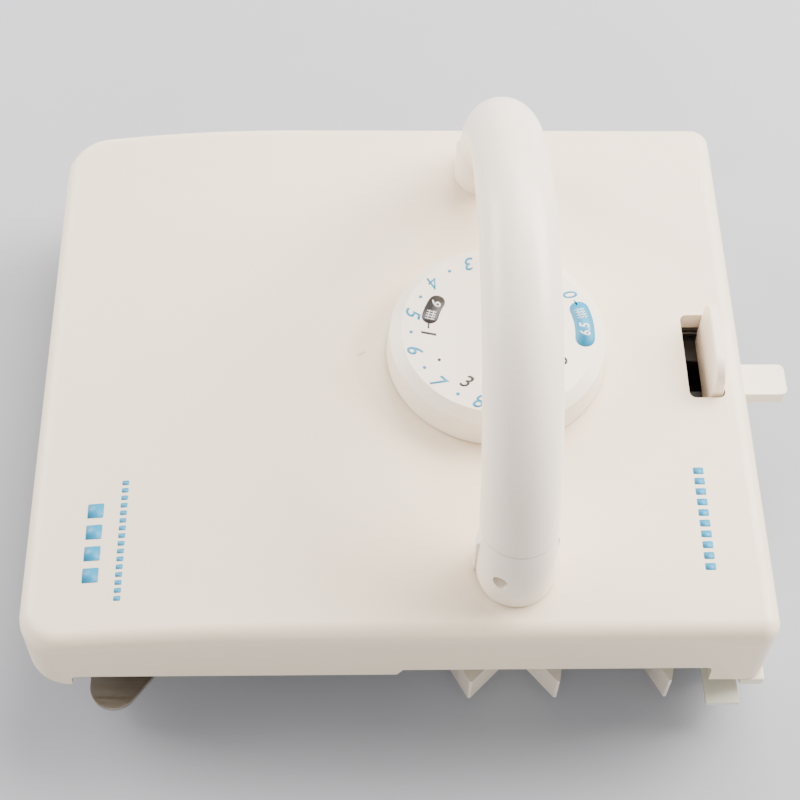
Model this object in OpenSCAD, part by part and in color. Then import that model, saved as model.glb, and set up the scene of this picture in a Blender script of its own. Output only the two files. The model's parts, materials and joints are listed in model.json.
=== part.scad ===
// Intarsia carriage for a flat-bed knitting machine.
// +X points to the rear of the machine, +Y runs along the needle bed, +Z is up.
// The origin is under the centre of the cover, on the plane that the slider shoes rest on.

/* [Cover] */
// Length of the cover, from the knitter's edge to the rear edge
cover_x = 210; // [206:1:216]
// Width of the cover along the needle bed
cover_y = 184; // [182:1:192]
// Height of the flat top above the rest plane
cover_top = 46; // [45:0.5:48]
// Wall thickness of the cover
cover_wall = 2.6; // [2:0.1:3]
// Rounding of the top edges
cover_edge_r = 5; // [4:0.5:6]
// Rounding of the two corners at the knitter's side, seen from above
corner_front_r = 13; // [10:1:15]
// Rounding of the two corners at the rear, seen from above
corner_rear_r = 6; // [5:0.5:8]
// Radius of the gentle droop of the top towards the knitter
drop_r = 405; // [380:5:600]
// Place along X where the droop starts
drop_x = -30; // [-40:1:-20]

/* [Handle] */
// Diameter of the handle's grip
grip_d = 21.7; // [20:0.1:22]
// Distance between the two feet of the handle
handle_span = 144.6; // [140:0.5:146]
// Rise of the grip's centre line above the cover
handle_rise = 61; // [58:0.5:70]
// Place of the handle along X
handle_x = 32.2; // [30:0.1:34]
// Radius of the bend above each foot
shoulder_r = 39; // [34:0.5:44]
// Angle of the bend above each foot
shoulder_angle = 23; // [20:0.5:25]

/* [Dial] */
// Diameter of the stitch dial
dial_d = 65.4; // [60:0.2:66]
// Height of the dial's face above the cover
dial_h = 11.6; // [9:0.1:12]
// Diameter of the dial's flat face, inside its bevelled rim
dial_face_d = 57.2; // [50:0.2:60]
// Place of the dial's axis along X
dial_x = 30.4; // [30:0.1:31]
// Place of the dial's axis along Y
dial_y = 1.2; // [0:0.1:1.4]
// Follower travel for each radian that the dial turns
spiral_pitch = 2; // [1.6:0.1:2]

/* [Trip lever] */
// Width of the lever's finger plate along the needle bed
knob_w = 28; // [24:0.5:29]
// Height of the finger plate above the cover
knob_h = 11; // [9:0.5:12]
// Place of the tip of the tab behind the cover
tab_tip_x = 120.5; // [116:0.5:122]
// Width of the tab
tab_w = 11; // [9:0.5:11]

/* [Underside] */
// Height of the base plate's lower face above the rest plane
plate_z = 16.5; // [16.5:0.1:16.8]
// Thickness of the base plate
plate_t = 1.5; // [1.2:0.1:1.5]
// Height of the lower face of the guide and lift cams
cam_z = 5; // [4.5:0.1:6]
// Height of the presser plate's lower face
presser_z = 6; // [6:0.1:6.5]

/* [Hidden] */
$fn = 64;
fine = 0.05;      // running clearance on a radius
gap = 0.1;        // clearance between faces that slide
hx = cover_x / 2;
hy = cover_y / 2;
plate_top = plate_z + plate_t;
ceiling = cover_top - cover_wall;
leg_z = 17;       // bottom of the cover's corner legs and end walls
skirt_front_z = 22;
skirt_rear_z = 25;
skirt_x0 = -91.4;
skirt_x1 = 0.6;
skirt_x2 = 88.6;
skirt_r = 1.5;
plate_x = 98;
plate_y = 84;

// slot for the trip lever
slot_x0 = 87.3;
slot_x1 = 98;
slot_y = 15;
slot_r = 2;
collar_wall = 2;
collar_z = 39.5;

// trip lever
knob_t = 4.2;
knob_x0 = slot_x1 - gap - knob_t;
knob_r = 6.5;
knob_edge_r = 1.5;
trip_z0 = 28.5;
trip_z1 = 33;
trip_deck_z = 35;
trip_deck_top = 39.3;
trip_deck_x0 = knob_x0;
trip_deck_x1 = 101;
trip_deck_y = 12.9;

// handle
grip_r = grip_d / 2;
grip_bore_r = 8.2;
spigot_r = 8.1;
spigot_h = 5;             // reach of the cap's tongue above the joint
joint_lap = 9;            // degrees by which the arcs of the grip and the caps run past each other
half_span = handle_span / 2;
crown_r = (half_span - shoulder_r * (1 - cos(shoulder_angle))) / cos(shoulder_angle);
crown_z = cover_top + handle_rise - crown_r;
shoulder_z = crown_z + (crown_r - shoulder_r) * sin(shoulder_angle);
pivot_x = 27.1;
pivot_z = 55.9;
pivot_r = 2;
foot_split_y = 71.6;      // the post is inboard of this plane, the end cap outboard
seam_y = 69.2;
seam_z = 65.1;
seam_tilt = 7.15;
post_r = 11.4;
post_top_r = 8;
post_top_z = 63.8;
post_x0 = 20.6;
post_x = handle_x + grip_r - post_r;
post_y0 = 61;
pivot_bore_y = 63;       // blind end of the pin's bore in the post
cap_heel_r = 9.7;
post_screw_x = [28.5, 37];
post_screw_y = 67;

// dial and what hangs below it
spindle_r = 5;
journal_r = 3;
drive_w = 6.4;
drive_top = 52;
bush_r = 7.5;
disc_r = 24;
disc_z = 22;
disc_t = 5;
groove_w = 3.2;
groove_deep = 3;
follower_r = 1.5;
follower_at = 14;
turn_min = -134;
turn_max = 150;
click_step = 14.8;

// stitch slider and stitch cams
slider_z = plate_top + gap;
slider_t = 1.8;
stud_r = 3;
stud_x = 34;
stud_y = 37;
cam_angle = 50;           // direction in which a stitch cam travels, from +X
slider_travel = 5.3;
cam_travel = slider_travel / cos(cam_angle);
guide_post_x = [4, 62];

// screws
m3_r = 1.5;
m3_head_r = 3;
m3_head_h = 2.2;
hole_play = 0.05;
cover_screw_at = [[-92, 60], [62, 60]];
cam_screw_at = [[22, 74], [43, 74], [77, 66], [77, 20], [-10, 40], [-16.5, 3.3]];

// slider shoes
shoe_x0 = 88.4;
shoe_x1 = 98;
shoe_y0 = 50;
shoe_sole_y = 80;
shoe_neck_y = 85.5;
shoe_tip_y = 97;
shoe_tip_z = 12;
shoe_tip_t = 1.6;
flange_y0 = 56;
flange_y1 = 80;
flange_z = 13.5;
front_shoe_x = [-64, -52];
front_shoe_y = [30, 74];
shoe_screw_at = [[92.75, 68], [-58, 38], [-58, 66]];

// presser plate and brush wheels
presser_x0 = -88.2;
presser_x1 = -69.6;
presser_y = 95.5;
presser_t = 1.5;
presser_row_x = -78.55;   // line of the screws and of the brush axles
presser_screw_at = [presser_row_x, 62];
brush_y = 34;
brush_axle_r = 2;

// ---------- shared helpers ----------

// The children at both ends of the carriage.
module both_ends() {
  children();
  mirror([0, 1, 0]) children();
}

// The left end of the carriage is +Y, the right end is -Y.
module at_right() {
  mirror([0, 1, 0]) children();
}

module rod(x, y, z0, z1, r) {
  translate([x, y, z0]) cylinder(r = r, h = z1 - z0);
}

// Rectangle from (x0, y0) to (x1, y1) with its own radius at the low-X and the high-X corners.
module round_rect(x0, x1, y0, y1, r0, r1) {
  translate([x0 + r0, y0]) square([x1 - x0 - r0 - r1, y1 - y0]);
  translate([x0, y0 + r0]) square([r0, y1 - y0 - 2 * r0]);
  translate([x1 - r1, y0 + r1]) square([r1, y1 - y0 - 2 * r1]);
  for (y = [y0 + r0, y1 - r0]) translate([x0 + r0, y]) circle(r = r0);
  for (y = [y0 + r1, y1 - r1]) translate([x1 - r1, y]) circle(r = r1);
}

// A slot of half-length l and half-width r, centred on the origin, at an angle.
module slot2d(l, r, angle = 0) {
  rotate(angle) {
    square([2 * l, 2 * r], center = true);
    for (s = [-1, 1]) translate([s * l, 0]) circle(r = r);
  }
}

module pan_screw(x, y, head_z, tip_z) {
  // head below, shank upwards
  rod(x, y, head_z - m3_head_h, head_z, m3_head_r);
  rod(x, y, head_z, tip_z, m3_r);
}

// ---------- cover ----------

// Cross-section of the cover: height along x, width along y, upper corners rounded.
module cover_section(t) {
  r = cover_edge_r - t;
  z1 = cover_top - t;
  w = hy - t;
  translate([0, -w]) square([z1 - r, 2 * w]);
  translate([0, -w + r]) square([z1, 2 * (w - r)]);
  for (s = [-1, 1]) translate([z1 - r, s * (w - r)]) circle(r = r);
}

// Flat part of the top and, towards the knitter, the part that droops on a large radius.
module cover_loaf(t) {
  translate([hx, 0, 0]) rotate([0, -90, 0]) linear_extrude(hx - drop_x) cover_section(t);
  translate([drop_x, 0, cover_top - drop_r]) rotate([90, 0, 0]) rotate([0, 0, 90])
    rotate_extrude(angle = 14, $fn = 360)
      translate([drop_r - cover_top, 0]) cover_section(t);
}

// Side view of the cover, which rounds its front and rear top edges.
module cover_side(t) {
  r = cover_edge_r - t;
  xs = -hx + cover_edge_r;
  zs = cover_top - drop_r + sqrt(pow(drop_r - cover_edge_r, 2) - pow(xs - drop_x, 2));
  lean = (xs - drop_x) / (zs - cover_top + drop_r);
  xr = hx - cover_edge_r;
  zr = cover_top - cover_edge_r;
  high = cover_top + 10;
  rotate([90, 0, 0]) linear_extrude(cover_y + 10, center = true) {
    polygon([[xs, 0], [xr, 0], [xr, high], [xs + lean * (high - zs), high], [xs, zs]]);
    translate([-hx + t, 0]) square([r, zs]);
    translate([xs, zs]) circle(r = r);
    translate([xr, 0]) square([r, zr]);
    translate([xr, zr]) circle(r = r);
  }
}

module cover_body(t) {
  intersection() {
    cover_loaf(t);
    cover_side(t);
    linear_extrude(cover_top)
      round_rect(-hx + t, hx - t, -hy + t, hy - t, corner_front_r - t, corner_rear_r - t);
  }
}

module lever_slot(extra) {
  round_rect(slot_x0 - extra, slot_x1 + extra, -slot_y - extra, slot_y + extra,
    slot_r + extra, slot_r + extra);
}

// Gap in a skirt between two corner legs, from x0 to x1 and up to z1.
module skirt_gap(x0, x1, z1) {
  r = skirt_r;
  translate([0, hy + 1, 0]) rotate([90, 0, 0]) linear_extrude(5) {
    translate([x0, 0]) square([x1 - x0, z1 - r]);
    translate([x0 + r, 0]) square([x1 - x0 - 2 * r, z1]);
    for (x = [x0 + r, x1 - r]) translate([x, z1 - r]) circle(r = r);
  }
}

module cover() {
  window_play = 0.3;
  color([0.93, 0.90, 0.86]) difference() {
    union() {
      difference() {
        cover_body(0);
        cover_body(cover_wall);
      }
      intersection() {
        union() {
          for (p = cover_screw_at) both_ends() rod(p[0], p[1], plate_top, cover_top, 4);
          translate([0, 0, collar_z]) linear_extrude(cover_top - collar_z) lever_slot(collar_wall);
        }
        cover_body(cover_wall / 2);
      }
    }
    translate([-hx - 1, -hy - 1, -1]) cube([cover_x + 2, cover_y + 2, leg_z + 1]);
    both_ends() {
      skirt_gap(skirt_x0, skirt_x1 + 2 * skirt_r, skirt_front_z);
      skirt_gap(skirt_x1, skirt_x2, skirt_rear_z);
      for (p = cover_screw_at) rod(p[0], p[1], 0, 30, m3_r + hole_play);
      for (x = post_screw_x) rod(x, post_screw_y, 20, cover_top + 1, m3_r + hole_play);
    }
    translate([0, 0, 30]) linear_extrude(20) lever_slot(0);
    rod(dial_x, dial_y, 40, cover_top + 1, bush_r);
    translate([hx - 8, -tab_w / 2 - window_play, trip_z0 - window_play])
      cube([10, tab_w + 2 * window_play, trip_z1 - trip_z0 + 2 * window_play]);
  }
}

module cover_screws() {
  color([0.75, 0.76, 0.78]) both_ends()
    for (p = cover_screw_at) pan_screw(p[0], p[1], plate_z, 29);
}

// ---------- base plate and cams ----------

module base_plate() {
  color([0.70, 0.71, 0.73]) translate([0, 0, plate_z]) linear_extrude(plate_t) difference() {
    round_rect(-plate_x, plate_x, -plate_y, plate_y, 8, 4);
    translate([dial_x, dial_y]) circle(r = journal_r + fine);
    for (s = [-1, 1]) {
      translate([stud_x, s * stud_y])
        slot2d(cam_travel + gap, stud_r + fine, -s * cam_angle);
      for (p = concat(cover_screw_at, cam_screw_at, shoe_screw_at, [presser_screw_at]))
        translate([p[0], s * p[1]]) circle(r = m3_r + hole_play);
    }
  }
}

// A straight guide bar whose ends taper to a narrow nose. The taper is given as mm of
// width for each mm of length on the knitter's side and on the rear side.
module guide_bar(tip_x, slope_front, slope_rear, deep, inner_y) {
  nose = 0.4;
  x0 = tip_x - slope_front * deep;
  x1 = tip_x + slope_rear * deep;
  translate([0, 0, cam_z]) linear_extrude(plate_z - cam_z) polygon([
    [tip_x - nose, hy], [x0, hy - deep], [x0, inner_y],
    [x1, inner_y], [x1, hy - deep], [tip_x + nose, hy]
  ]);
}

bar_inner_y = 63;

module guide_cam_front() {
  color([0.90, 0.87, 0.82]) difference() {
    both_ends() guide_bar(21, tan(30), tan(46), 9.5, bar_inner_y);
    cam_screw_holes();
  }
}

module guide_cam_middle() {
  color([0.90, 0.87, 0.82]) difference() {
    both_ends() guide_bar(46, tan(41), tan(13), 10, bar_inner_y);
    cam_screw_holes();
  }
}

module guide_cam_rear() {
  color([0.90, 0.87, 0.82]) difference() {
    both_ends() guide_bar(78, tan(30), tan(16), 9, 0);
    cam_screw_holes();
  }
}

module cam_screw_holes() {
  both_ends() for (p = cam_screw_at) rod(p[0], p[1], plate_z - 8, plate_top, m3_r + hole_play);
}

module cam_block(points) {
  translate([0, 0, cam_z]) linear_extrude(plate_z - cam_z) polygon(points);
}

module lift_cam_left() {
  color([0.35, 0.36, 0.38]) difference() {
    cam_block([[4, 58], [4, 22], [-2, 18], [-22, 34], [-22, 48], [-6, 60]]);
    cam_screw_holes();
  }
}

module lift_cam_right() {
  at_right() lift_cam_left();
}

module centre_cam() {
  color([0.35, 0.36, 0.38]) difference() {
    cam_block([[-3, -12], [-3, 12], [-14, 8], [-24, 0], [-14, -8]]);
    cam_screw_holes();
  }
}

module cam_screws() {
  head_h = 1.8;
  color([0.75, 0.76, 0.78]) both_ends() for (p = cam_screw_at) {
    rod(p[0], p[1], plate_z - 7, plate_top, m3_r);
    rod(p[0], p[1], plate_top, plate_top + head_h, m3_head_r);
  }
}

// ---------- shoes ----------

module shoe_screw_holes() {
  for (p = shoe_screw_at) rod(p[0], p[1], 6, 20, m3_r + hole_play);
}

// The outer end of the shoe rises to a thin tongue.
module rear_shoe_left() {
  top_y = plate_y + 2 * gap;
  color([0.84, 0.86, 0.82]) difference() {
    translate([shoe_x0, 0, 0]) rotate([90, 0, 90]) linear_extrude(shoe_x1 - shoe_x0) polygon([
      [shoe_y0, 0], [shoe_sole_y, 0], [shoe_neck_y, shoe_tip_z - shoe_tip_t],
      [shoe_tip_y, shoe_tip_z - shoe_tip_t], [shoe_tip_y, shoe_tip_z],
      [top_y, shoe_tip_z], [top_y, plate_z], [shoe_y0, plate_z]
    ]);
    translate([shoe_x0 - 1, flange_y0 - gap, flange_z - gap])
      cube([shoe_x1 - shoe_x0 + 2, flange_y1 - flange_y0 + 2 * gap, 10]);
    shoe_screw_holes();
  }
}

module rear_shoe_right() {
  at_right() rear_shoe_left();
}

module rear_hook_left() {
  hook_z = 5.5;
  hook_y = 81;
  lip_z = 13.2;
  color([0.90, 0.87, 0.82]) difference() {
    union() {
      translate([shoe_x1 + gap, 0, 0]) rotate([90, 0, 90]) linear_extrude(hx - shoe_x1 - gap)
        polygon([
          [shoe_y0, hook_z], [hook_y, hook_z], [hook_y, lip_z], [hy, lip_z],
          [hy, plate_z], [shoe_y0, plate_z]
        ]);
      translate([shoe_x0, flange_y0, flange_z])
        cube([hx - shoe_x0, flange_y1 - flange_y0, plate_z - flange_z]);
    }
    shoe_screw_holes();
  }
}

module rear_hook_right() {
  at_right() rear_hook_left();
}

module front_shoe_left() {
  color([0.84, 0.86, 0.82]) difference() {
    linear_extrude(plate_z)
      round_rect(front_shoe_x[0], front_shoe_x[1], front_shoe_y[0], front_shoe_y[1], 3, 3);
    shoe_screw_holes();
  }
}

module front_shoe_right() {
  at_right() front_shoe_left();
}

module shoe_screws() {
  head_h = 1.8;
  color([0.75, 0.76, 0.78]) both_ends() for (p = shoe_screw_at) {
    rod(p[0], p[1], 7, plate_top, m3_r);
    rod(p[0], p[1], plate_top, plate_top + head_h, m3_head_r);
  }
}

// ---------- presser plate and brush wheels ----------

// Strip of sheet steel. Each end has a round corner outside, and a bevel inside that runs
// off the round.
module presser_plate() {
  round_r = 7;
  bevel_angle = 36.6;
  round_x = presser_x0 + round_r;
  round_y = presser_y - round_r;
  end_y = round_y + round_r * sin(bevel_angle)
    - (presser_x1 - round_x - round_r * cos(bevel_angle)) / tan(bevel_angle);
  steps = 24;
  turns = [for (i = [0 : steps]) bevel_angle + (180 - bevel_angle) * i / steps];
  left_end = [for (a = turns) [round_x + round_r * cos(a), round_y + round_r * sin(a)]];
  right_end = [for (i = [steps : -1 : 0]) [left_end[i][0], -left_end[i][1]]];
  color([0.45, 0.42, 0.36]) translate([0, 0, presser_z]) linear_extrude(presser_t) difference() {
    polygon(concat(left_end, right_end, [[presser_x1, -end_y], [presser_x1, end_y]]));
    for (s = [-1, 1]) {
      translate([presser_screw_at[0], s * presser_screw_at[1]]) circle(r = m3_r + hole_play);
      translate([presser_row_x, s * brush_y]) circle(r = brush_axle_r);
    }
  }
}

module presser_brackets() {
  w = 14;
  color([0.35, 0.36, 0.38]) both_ends() difference() {
    translate([presser_screw_at[0] - w / 2, presser_screw_at[1] - w / 2, presser_z + presser_t])
      cube([w, w, plate_z - presser_z - presser_t]);
    rod(presser_screw_at[0], presser_screw_at[1], 0, 20, m3_r + hole_play);
  }
}

module presser_screws() {
  color([0.75, 0.76, 0.78]) both_ends()
    pan_screw(presser_screw_at[0], presser_screw_at[1], presser_z, plate_top + 1);
}

hub_z0 = 1.7;
hub_z1 = presser_z - gap;
hub_r = 6;
brush_r = 12.5;

module brush_axles() {
  color([0.75, 0.76, 0.78]) both_ends() {
    rod(presser_row_x, brush_y, hub_z0 - gap, presser_z + presser_t, brush_axle_r);
    rod(presser_row_x, brush_y, hub_z0 - gap - 0.9, hub_z0 - gap, brush_axle_r + 1.6);
  }
}

module brush_hub_left() {
  color([0.30, 0.31, 0.33]) difference() {
    rod(presser_row_x, brush_y, hub_z0, hub_z1, hub_r);
    rod(presser_row_x, brush_y, 0, 10, brush_axle_r + fine);
  }
}

module brush_hub_right() {
  at_right() brush_hub_left();
}

module brush_left() {
  color([0.12, 0.12, 0.13]) difference() {
    rod(presser_row_x, brush_y, hub_z0 + 0.6, hub_z1 - 0.8, brush_r);
    rod(presser_row_x, brush_y, 0, 10, hub_r);
  }
}

module brush_right() {
  at_right() brush_left();
}

// ---------- stitch dial ----------

module dial() {
  skin = 2.4;
  hub_r = 9;
  rim_h = 2.4;
  rim_in = 0.8;
  z0 = cover_top + 0.3;
  z1 = cover_top + dial_h;
  r = dial_d / 2;
  face_r = dial_face_d / 2;
  color([0.95, 0.92, 0.89]) translate([dial_x, dial_y, 0]) difference() {
    rotate_extrude($fn = 128) difference() {
      polygon([[0, z0], [r, z0], [r - rim_in, z1 - rim_h], [face_r, z1], [0, z1]]);
      translate([hub_r, z0 - 1]) square([face_r - skin / 2 - hub_r, z1 - z0 - skin + 1]);
    }
    translate([-drive_w / 2, -drive_w / 2, z0 - 1]) cube([drive_w, drive_w, drive_top - z0 + 1]);
  }
}

module dial_spindle() {
  color([0.75, 0.76, 0.78]) {
    rod(dial_x, dial_y, disc_z - 7, plate_top + gap, journal_r);
    rod(dial_x, dial_y, plate_top + gap, cover_top + 0.3, spindle_r);
    translate([dial_x - drive_w / 2, dial_y - drive_w / 2, cover_top + 0.3])
      cube([drive_w, drive_w, drive_top - cover_top - 0.3]);
  }
}

module dial_bush() {
  flange_r = 11;
  flange_t = 1.8;
  color([0.30, 0.31, 0.33]) difference() {
    union() {
      rod(dial_x, dial_y, ceiling - flange_t, cover_top + 0.1, bush_r);
      rod(dial_x, dial_y, ceiling - flange_t, ceiling, flange_r);
    }
    rod(dial_x, dial_y, 30, 50, spindle_r + fine);
  }
}

module dial_clip() {
  z0 = disc_z - 6.6;
  color([0.25, 0.25, 0.27]) difference() {
    rod(dial_x, dial_y, z0, plate_z - gap, 6);
    rod(dial_x, dial_y, 0, 20, journal_r);
  }
}

// Centre line of the spiral groove: the radius falls as the angle rises, so that a positive
// turn of the dial pulls the follower outwards at a constant rate.
function spiral_r(a) = follower_at + spiral_pitch * a * PI / 180;
function spiral_point(a, side) =
  let (
    r = spiral_r(a),
    lead = atan2(spiral_pitch, r),
    n = a - lead
  ) [r * cos(a) + side * cos(n), r * sin(a) + side * sin(n)];

groove_step = 7;
groove_a0 = -turn_max - 14;
groove_a1 = -turn_min + 8;
groove_n = ceil((groove_a1 - groove_a0) / groove_step);
groove_angles = [for (i = [0 : groove_n]) groove_a0 + i * (groove_a1 - groove_a0) / groove_n];

module stitch_disc() {
  notch_r = 1.3;
  notch_out = 0.75;
  w = groove_w / 2;
  color([0.88, 0.88, 0.85]) translate([dial_x, dial_y, 0]) difference() {
    translate([0, 0, disc_z]) linear_extrude(disc_t) difference() {
      circle(r = disc_r, $fn = 128);
      circle(r = spindle_r);
      for (a = [ceil(-turn_max / click_step) : floor(-turn_min / click_step)])
        rotate(180 + a * click_step) translate([disc_r + notch_out, 0]) circle(r = notch_r);
    }
    translate([0, 0, disc_z - 1]) linear_extrude(groove_deep + 1) polygon(concat(
      [for (a = groove_angles) spiral_point(a, w)],
      [for (i = [groove_n : -1 : 0]) spiral_point(groove_angles[i], -w)]
    ));
  }
}

// Leaf spring with a half-round nose that clicks in the notches of the disc.
module dial_detent_spring() {
  nose_r = 1.2;
  leaf_t = 0.5;
  leaf_z0 = disc_z + 1;
  leaf_z1 = disc_z + 4;
  nose_x = dial_x - disc_r - fine - nose_r;
  leaf_x = nose_x - leaf_t;
  foot_y = -34;
  color([0.75, 0.76, 0.78]) {
    translate([leaf_x, foot_y, leaf_z0]) cube([leaf_t, 14 - foot_y, leaf_z1 - leaf_z0]);
    translate([leaf_x, foot_y, plate_top]) cube([leaf_t, 10, leaf_z1 - plate_top]);
    translate([leaf_x - 9, foot_y, plate_top]) cube([9, 10, leaf_t]);
    intersection() {
      rod(nose_x, dial_y, leaf_z0, leaf_z1, nose_r);
      translate([nose_x - gap, dial_y - nose_r, leaf_z0]) cube([3, 2 * nose_r, 10]);
    }
  }
}

// ---------- stitch slider and stitch cams ----------

module stitch_slider() {
  slider_x0 = -7;
  slider_x1 = 73;
  bar_half = 11;
  arm_half = 8;
  arm_y = 50;
  reach = slider_travel + gap;
  color([0.70, 0.71, 0.73]) translate([0, 0, slider_z]) linear_extrude(slider_t) difference() {
    union() {
      round_rect(slider_x0, slider_x1, -bar_half, bar_half, 3, 3);
      round_rect(stud_x - arm_half, stud_x + arm_half, -arm_y, arm_y, 3, 3);
    }
    translate([dial_x, dial_y]) slot2d(reach, spindle_r + gap);
    for (x = guide_post_x) translate([x, 0]) slot2d(reach, stud_r + fine);
    for (s = [-1, 1]) translate([stud_x, s * stud_y])
      slot2d(reach * tan(cam_angle) + gap, stud_r + fine, 90);
    translate([dial_x + follower_at, dial_y]) circle(r = follower_r);
  }
}

module stitch_follower() {
  color([0.75, 0.76, 0.78])
    rod(dial_x + follower_at, dial_y, slider_z, disc_z + groove_deep - 0.3, follower_r);
}

module slider_guides() {
  z1 = slider_z + slider_t + gap;
  color([0.75, 0.76, 0.78]) for (x = guide_post_x) {
    rod(x, 0, plate_top, z1, stud_r);
    rod(x, 0, z1, z1 + 1, stud_r + 1.5);
  }
}

module stitch_cam_left() {
  long = 14;
  half = 7;
  nose = 5;
  z1 = plate_z - gap;
  color([0.35, 0.36, 0.38]) {
    translate([stud_x, stud_y, cam_z]) rotate(-cam_angle) linear_extrude(z1 - cam_z) polygon([
      [-long, half], [long - nose, half], [long, 2], [long, -2],
      [long - nose, -half], [-long, -half], [-long - 3, 0]
    ]);
    rod(stud_x, stud_y, z1 - 1, slider_z + slider_t + 1.2, stud_r);
  }
}

module stitch_cam_right() {
  at_right() stitch_cam_left();
}

module stitch_clip_left() {
  z0 = slider_z + slider_t + gap;
  color([0.25, 0.25, 0.27]) difference() {
    rod(stud_x, stud_y, z0, z0 + 0.8, stud_r + 2);
    rod(stud_x, stud_y, z0 - 1, z0 + 2, stud_r);
  }
}

module stitch_clip_right() {
  at_right() stitch_clip_left();
}

// ---------- trip lever ----------

// Finger plate, seen along the lever's travel.
module knob_outline() {
  w = knob_w / 2;
  z1 = cover_top + knob_h;
  translate([-w, trip_deck_top]) square([2 * w, z1 - knob_r - trip_deck_top]);
  translate([-w + knob_r, trip_deck_z]) square([2 * (w - knob_r), z1 - trip_deck_z]);
  for (s = [-1, 1]) translate([s * (w - knob_r), z1 - knob_r]) circle(r = knob_r);
}

module trip_lever() {
  color([0.95, 0.92, 0.89]) {
    intersection() {
      translate([knob_x0, 0, 0]) rotate([90, 0, 90]) linear_extrude(knob_t) knob_outline();
      linear_extrude(100)
        round_rect(knob_x0, knob_x0 + knob_t, -knob_w / 2, knob_w / 2, knob_edge_r, knob_edge_r);
    }
    translate([trip_deck_x0, -trip_deck_y, trip_deck_z])
      cube([trip_deck_x1 - trip_deck_x0, 2 * trip_deck_y, trip_deck_top - trip_deck_z]);
    translate([trip_deck_x1 - 5, -tab_w / 2, trip_z0])
      cube([5, tab_w, trip_deck_z - trip_z0 + 1]);
    translate([0, 0, trip_z0]) linear_extrude(trip_z1 - trip_z0)
      round_rect(trip_deck_x1 - 5, tab_tip_x, -tab_w / 2, tab_w / 2, 0.1, 2);
  }
}

leaf_x0 = 83;
leaf_l = 17;

// Block under the lever that carries its deck and guides its sides.
module trip_guide() {
  x0 = 80;
  x1 = 101;
  y1 = 17;
  arm_y = tab_w / 2 + gap;
  color([0.20, 0.20, 0.21]) difference() {
    translate([x0, -y1, plate_top]) cube([x1 - x0, 2 * y1, trip_deck_top - plate_top]);
    translate([x0 - 1, -trip_deck_y - gap, trip_deck_z - gap])
      cube([30, 2 * (trip_deck_y + gap), 20]);
    translate([x0 + 8, -arm_y, plate_top + 3]) cube([30, 2 * arm_y, 30]);
    translate([leaf_x0 - gap, trip_deck_y, trip_deck_z - gap]) cube([leaf_l + 2 * gap, 1.2, 20]);
  }
}

// Leaf that presses on the side of the lever's deck and holds it in either position.
module trip_detent_spring() {
  y0 = trip_deck_y + 0.5;
  nose_x = 94;
  nose_r = 1;
  leaf_h = 3.5;
  color([0.75, 0.76, 0.78]) {
    translate([leaf_x0, y0, trip_deck_z]) cube([leaf_l, 0.4, leaf_h]);
    intersection() {
      rod(nose_x, trip_deck_y + fine + nose_r, trip_deck_z, trip_deck_z + leaf_h, nose_r);
      translate([nose_x - 2, trip_deck_y, trip_deck_z]) cube([4, 0.6, leaf_h]);
    }
  }
}

// ---------- handle ----------

// The crown arc of the bent tube, carried on a little below the joints with the end caps.
module handle_crown(r) {
  start = shoulder_angle - joint_lap;
  translate([handle_x, 0, crown_z]) rotate([90, 0, 90]) rotate([0, 0, start])
    rotate_extrude(angle = 180 - 2 * start, $fn = 96) translate([crown_r, 0]) circle(r = r);
}

// The tighter bend above the left foot.
module handle_shoulder(r) {
  translate([handle_x, half_span - shoulder_r, shoulder_z]) rotate([90, 0, 90])
    rotate_extrude(angle = shoulder_angle + joint_lap, $fn = 96)
      translate([shoulder_r, 0]) circle(r = r);
}

// Everything below the slanted joint between the grip and the end cap.
module below_seam(up) {
  translate([handle_x, seam_y, seam_z + up]) rotate([seam_tilt, 0, 0])
    translate([-20, -30, -40]) cube([40, 60, 40]);
}

module handle_grip() {
  color([0.95, 0.92, 0.89]) difference() {
    handle_crown(grip_r);
    handle_crown(grip_bore_r);
    both_ends() below_seam(0);
  }
}

// The cap carries the lower end of the tube outboard of the post. Its heel is round about
// the pivot, and a tongue reaches into the bore of the grip.
module handle_cap_left() {
  base_z = cover_top + 0.3;
  color([0.95, 0.92, 0.89]) difference() {
    union() {
      intersection() {
        handle_shoulder(grip_r);
        below_seam(-0.02);
        translate([handle_x - 20, foot_split_y, base_z]) cube([40, 20, 60]);
        union() {
          translate([pivot_x, 100, pivot_z]) rotate([90, 0, 0]) cylinder(r = cap_heel_r, h = 60);
          translate([pivot_x, foot_split_y, base_z]) cube([30, 20, 60]);
          translate([pivot_x - 20, foot_split_y, pivot_z]) cube([40, 20, 60]);
        }
      }
      intersection() {
        handle_crown(spigot_r);
        translate([handle_x - 20, foot_split_y, seam_z - 4]) cube([40, 20, spigot_h + 4]);
      }
    }
    translate([pivot_x, 100, pivot_z]) rotate([90, 0, 0])
      cylinder(r = pivot_r + fine, h = 60);
  }
}

module handle_cap_right() {
  at_right() handle_cap_left();
}

// Half-round post screwed to the cover. Its front top corner is round about the pivot, so
// that the grip can fold over it.
module handle_post_left() {
  top_h = post_top_z - cover_top;
  color([0.95, 0.92, 0.89]) difference() {
    intersection() {
      rod(post_x, half_span, cover_top, post_top_z, post_r);
      translate([post_x0, post_y0, cover_top]) cube([40, foot_split_y - gap - post_y0, top_h]);
      union() {
        translate([post_x0, 0, cover_top]) cube([40, 100, pivot_z - cover_top]);
        translate([pivot_x, 0, cover_top]) cube([40, 100, top_h]);
        translate([pivot_x, 100, pivot_z]) rotate([90, 0, 0]) cylinder(r = post_top_r, h = 60);
      }
    }
    translate([pivot_x, 100, pivot_z]) rotate([90, 0, 0])
      cylinder(r = pivot_r, h = 100 - pivot_bore_y);
    for (x = post_screw_x) rod(x, post_screw_y, 40, 52.5, m3_r + hole_play);
  }
}

module handle_post_right() {
  at_right() handle_post_left();
}

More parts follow.
